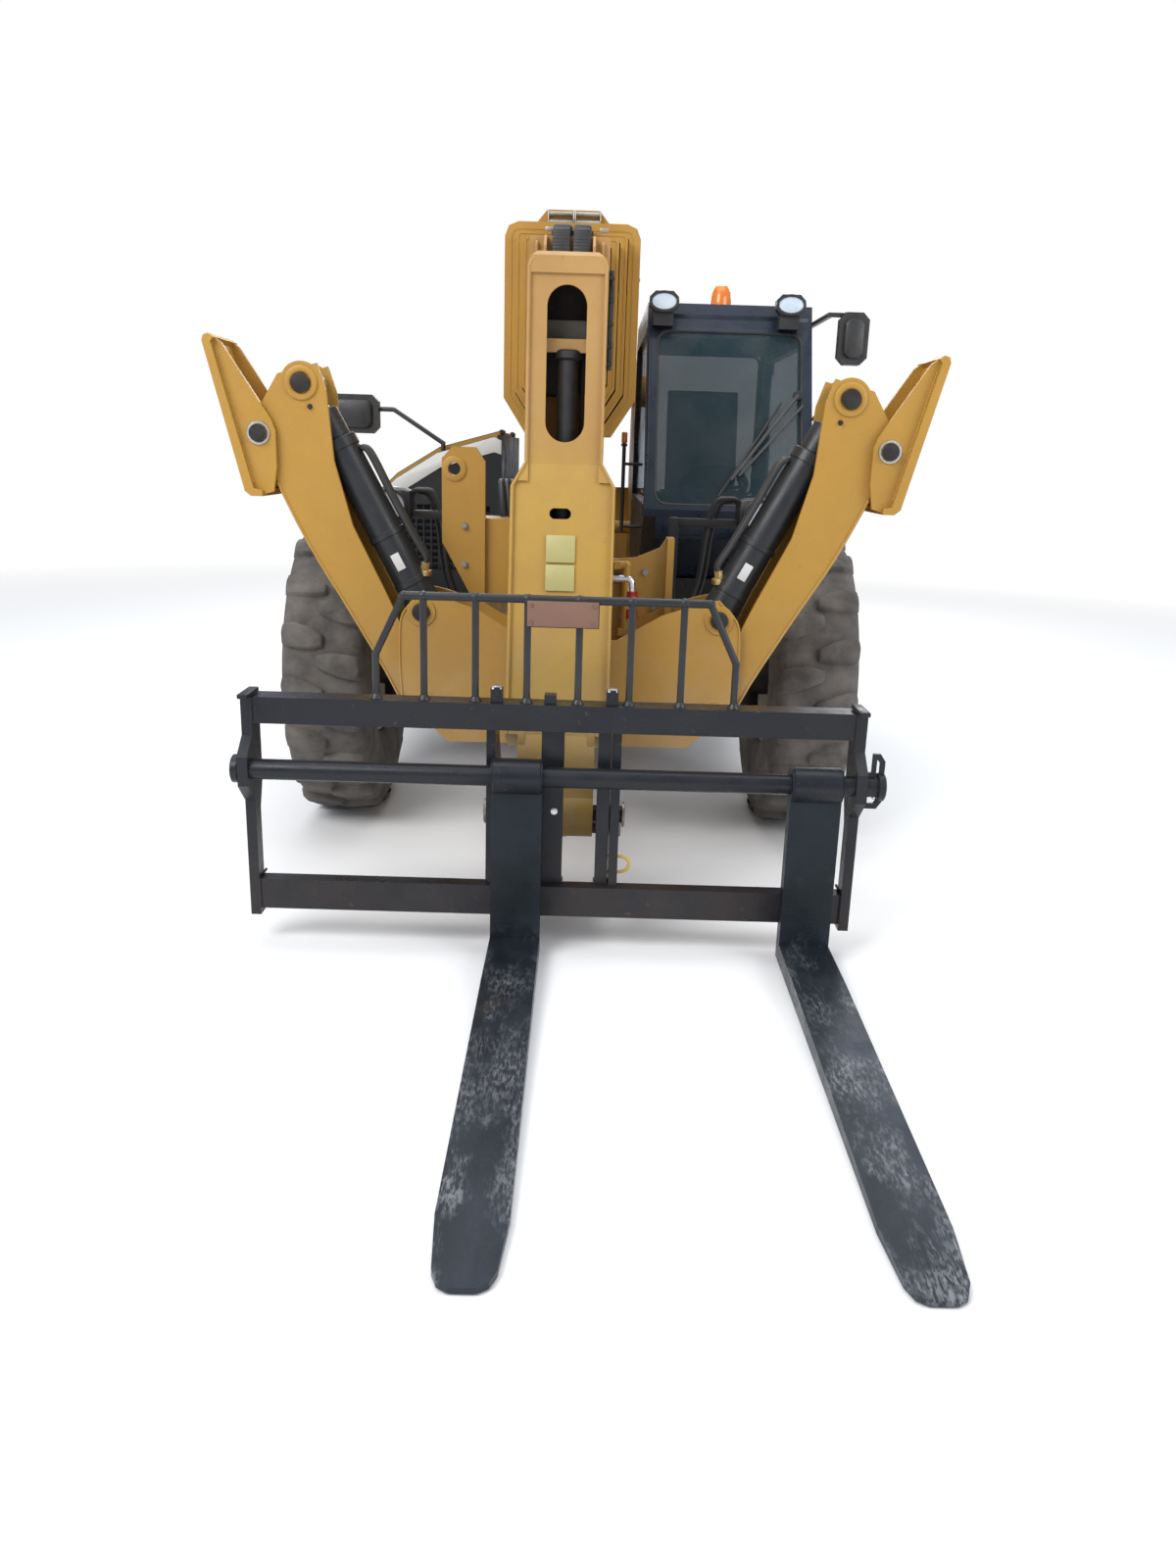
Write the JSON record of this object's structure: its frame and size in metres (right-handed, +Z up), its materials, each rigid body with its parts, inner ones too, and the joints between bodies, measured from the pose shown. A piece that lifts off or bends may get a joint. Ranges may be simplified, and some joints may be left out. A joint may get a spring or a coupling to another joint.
{
  "type": "telescopic handler",
  "caption": "Yellow four-wheel-steer telescopic handler with side cab, nested boom, pallet forks and two raised front stabilisers.",
  "frame": {"origin": "on the ground at the centre of the bounding box", "axes": "+X to the machine's left (cab side), -Y forwards over the forks, +Z up"},
  "size_m": [2.72, 8.105, 2.6903],
  "materials": {
    "machine_yellow": "satin",
    "black_paint": "satin",
    "dark_steel": "satin",
    "worn_steel": "worn",
    "polished_rod": "polished",
    "tyre": "dusty",
    "rim_paint": "satin",
    "seat_cloth": "matte",
    "dark_plastic": "matte",
    "pane": "clear",
    "amber": "gloss"
  },
  "bodies": {
    "chassis": {"chassis": "machine_yellow", "counterweight": "machine_yellow", "axle_front": "dark_steel", "axle_rear": "dark_steel", "cab_shell": "black_paint", "cab_glass": "pane", "seat": "seat_cloth", "console": "dark_plastic", "steering_wheel": "dark_plastic", "engine_pod": "black_paint", "engine_block": "dark_steel", "tank": "black_paint", "mirrors": "dark_plastic", "headlamps": "dark_plastic", "cab_lamps": "dark_plastic", "beacon": "amber", "tail_lamps": "amber"},
    "cab_door": {"cab_door": "black_paint", "door_glass": "pane"},
    "engine_hood": {"engine_hood": "machine_yellow"},
    "boom_outer": {"boom_outer": "machine_yellow"},
    "boom_second": {"boom_second": "machine_yellow"},
    "boom_third": {"boom_third": "machine_yellow"},
    "boom_nose": {"boom_nose": "machine_yellow"},
    "tilt_barrel": {"tilt_barrel": "black_paint"},
    "tilt_rod": {"tilt_rod": "polished_rod"},
    "carriage": {"carriage": "black_paint", "load_guard": "black_paint"},
    "fork_left": {"fork_left": "worn_steel"},
    "fork_right": {"fork_right": "worn_steel"},
    "lift_barrel": {"lift_barrel": "black_paint"},
    "lift_rod": {"lift_rod": "polished_rod"},
    "knuckle_front_left": {"knuckle_front_left": "dark_steel"},
    "wheel_front_left": {"tyre_front_left": "tyre", "rim_front_left": "rim_paint"},
    "knuckle_front_right": {"knuckle_front_right": "dark_steel"},
    "wheel_front_right": {"tyre_front_right": "tyre", "rim_front_right": "rim_paint"},
    "knuckle_rear_left": {"knuckle_rear_left": "dark_steel"},
    "wheel_rear_left": {"tyre_rear_left": "tyre", "rim_rear_left": "rim_paint"},
    "knuckle_rear_right": {"knuckle_rear_right": "dark_steel"},
    "wheel_rear_right": {"tyre_rear_right": "tyre", "rim_rear_right": "rim_paint"},
    "leg_left": {"leg_left": "machine_yellow"},
    "foot_left": {"foot_left": "machine_yellow"},
    "stab_barrel_left": {"stab_barrel_left": "black_paint"},
    "stab_rod_left": {"stab_rod_left": "polished_rod"},
    "leg_right": {"leg_right": "machine_yellow"},
    "foot_right": {"foot_right": "machine_yellow"},
    "stab_barrel_right": {"stab_barrel_right": "black_paint"},
    "stab_rod_right": {"stab_rod_right": "polished_rod"}
  },
  "joints": [
    {"name": "steer_front_left", "type": "hinge", "parent": "chassis", "child": "knuckle_front_left", "pos_m": [0.83, -0.5975, 0.685], "axis": [0, 0, 1], "range_deg": [-35, 35]},
    {"name": "roll_front_left", "type": "hinge", "parent": "knuckle_front_left", "child": "wheel_front_left", "pos_m": [1.0575, -0.5975, 0.685], "axis": [1, 0, 0], "continuous": true},
    {"name": "steer_front_right", "type": "hinge", "parent": "chassis", "child": "knuckle_front_right", "pos_m": [-0.83, -0.5975, 0.685], "axis": [0, 0, 1], "range_deg": [-35, 35]},
    {"name": "roll_front_right", "type": "hinge", "parent": "knuckle_front_right", "child": "wheel_front_right", "pos_m": [-1.0575, -0.5975, 0.685], "axis": [1, 0, 0], "continuous": true},
    {"name": "steer_rear_left", "type": "hinge", "parent": "chassis", "child": "knuckle_rear_left", "pos_m": [0.83, 2.6025, 0.685], "axis": [0, 0, 1], "range_deg": [-35, 35]},
    {"name": "roll_rear_left", "type": "hinge", "parent": "knuckle_rear_left", "child": "wheel_rear_left", "pos_m": [1.0575, 2.6025, 0.685], "axis": [1, 0, 0], "continuous": true},
    {"name": "steer_rear_right", "type": "hinge", "parent": "chassis", "child": "knuckle_rear_right", "pos_m": [-0.83, 2.6025, 0.685], "axis": [0, 0, 1], "range_deg": [-35, 35]},
    {"name": "roll_rear_right", "type": "hinge", "parent": "knuckle_rear_right", "child": "wheel_rear_right", "pos_m": [-1.0575, 2.6025, 0.685], "axis": [1, 0, 0], "continuous": true},
    {"name": "boom_lift", "type": "hinge", "parent": "chassis", "child": "boom_outer", "pos_m": [-0.035, 3.4425, 2.16], "axis": [-1, 0, 0], "range_deg": [0, 65]},
    {"name": "lift_ram_turn", "type": "hinge", "parent": "chassis", "child": "lift_barrel", "pos_m": [-0.035, 2.9525, 1.15], "axis": [-1, 0, 0], "range_deg": [0, 56.45]},
    {"name": "lift_ram_slide", "type": "slide", "parent": "lift_barrel", "child": "lift_rod", "axis": [0, -0.9649, 0.2627], "range_m": [0, 1.1533]},
    {"name": "boom_slide_first", "type": "slide", "parent": "boom_outer", "child": "boom_second", "axis": [0, -1, 0], "range_m": [0, 3.8]},
    {"name": "boom_slide_second", "type": "slide", "parent": "boom_second", "child": "boom_third", "axis": [0, -1, 0], "range_m": [0, 3.8]},
    {"name": "boom_slide_third", "type": "slide", "parent": "boom_third", "child": "boom_nose", "axis": [0, -1, 0], "range_m": [0, 3.8]},
    {"name": "carriage_tilt", "type": "hinge", "parent": "boom_nose", "child": "carriage", "pos_m": [-0.035, -2.0175, 0.42], "axis": [1, 0, 0], "range_deg": [-12, 85]},
    {"name": "tilt_ram_turn", "type": "hinge", "parent": "boom_nose", "child": "tilt_barrel", "pos_m": [-0.035, -1.6875, 1.5], "axis": [1, 0, 0], "range_deg": [-8, 3]},
    {"name": "tilt_ram_slide", "type": "slide", "parent": "tilt_barrel", "child": "tilt_rod", "axis": [0, -0.1151, -0.9934], "range_m": [-0.279, 0.0426]},
    {"name": "fork_right_slide", "type": "slide", "parent": "carriage", "child": "fork_right", "axis": [-1, 0, 0], "range_m": [-0.08, 0.8]},
    {"name": "fork_left_slide", "type": "slide", "parent": "carriage", "child": "fork_left", "axis": [1, 0, 0], "range_m": [-0.72, 0.03]},
    {"name": "leg_left_swing", "type": "hinge", "parent": "chassis", "child": "leg_left", "pos_m": [0.565, -1.5175, 0.725], "axis": [0, 1, 0], "range_deg": [0, 85]},
    {"name": "foot_left_swing", "type": "hinge", "parent": "leg_left", "child": "foot_left", "pos_m": [1.16, -1.5175, 1.727], "axis": [0, -1, 0], "range_deg": [-8, 15]},
    {"name": "stab_ram_left_turn", "type": "hinge", "parent": "chassis", "child": "stab_barrel_left", "pos_m": [0.569, -1.5175, 1.09], "axis": [0, 1, 0], "range_deg": [0, 91.96]},
    {"name": "stab_ram_left_slide", "type": "slide", "parent": "stab_barrel_left", "child": "stab_rod_left", "axis": [0.47, 0, 0.8827], "range_m": [0, 0.4735]},
    {"name": "leg_right_swing", "type": "hinge", "parent": "chassis", "child": "leg_right", "pos_m": [-0.565, -1.5175, 0.725], "axis": [0, -1, 0], "range_deg": [0, 85]},
    {"name": "foot_right_swing", "type": "hinge", "parent": "leg_right", "child": "foot_right", "pos_m": [-1.16, -1.5175, 1.727], "axis": [0, 1, 0], "range_deg": [-8, 15]},
    {"name": "stab_ram_right_turn", "type": "hinge", "parent": "chassis", "child": "stab_barrel_right", "pos_m": [-0.569, -1.5175, 1.09], "axis": [0, -1, 0], "range_deg": [0, 91.96]},
    {"name": "stab_ram_right_slide", "type": "slide", "parent": "stab_barrel_right", "child": "stab_rod_right", "axis": [-0.47, 0, 0.8827], "range_m": [0, 0.4735]},
    {"name": "door_swing", "type": "hinge", "parent": "chassis", "child": "cab_door", "pos_m": [1.182, 1.6415, 1.7], "axis": [0, 0, 1], "range_deg": [0, 88]},
    {"name": "hood_lift", "type": "hinge", "parent": "chassis", "child": "engine_hood", "pos_m": [-0.4355, 1.0025, 1.785], "axis": [0, 1, 0], "range_deg": [0, 60]}
  ],
  "couplings": [
    {"joint": "steer_front_right", "follows": "steer_front_left", "ratio": 1},
    {"joint": "steer_rear_right", "follows": "steer_rear_left", "ratio": 1},
    {"joint": "lift_ram_turn", "follows": "boom_lift", "ratio": 0.8684},
    {"joint": "lift_ram_slide", "follows": "boom_lift", "m_per_rad": 1.0165},
    {"joint": "boom_slide_second", "follows": "boom_slide_first", "ratio": 1},
    {"joint": "boom_slide_third", "follows": "boom_slide_first", "ratio": 1},
    {"joint": "tilt_ram_slide", "follows": "carriage_tilt", "m_per_rad": -0.1873},
    {"joint": "tilt_ram_turn", "follows": "carriage_tilt", "ratio": -0.0646},
    {"joint": "stab_ram_left_turn", "follows": "leg_left_swing", "ratio": 1.0818},
    {"joint": "stab_ram_left_slide", "follows": "leg_left_swing", "m_per_rad": 0.3191},
    {"joint": "stab_ram_right_turn", "follows": "leg_right_swing", "ratio": 1.0818},
    {"joint": "stab_ram_right_slide", "follows": "leg_right_swing", "m_per_rad": 0.3191}
  ]
}
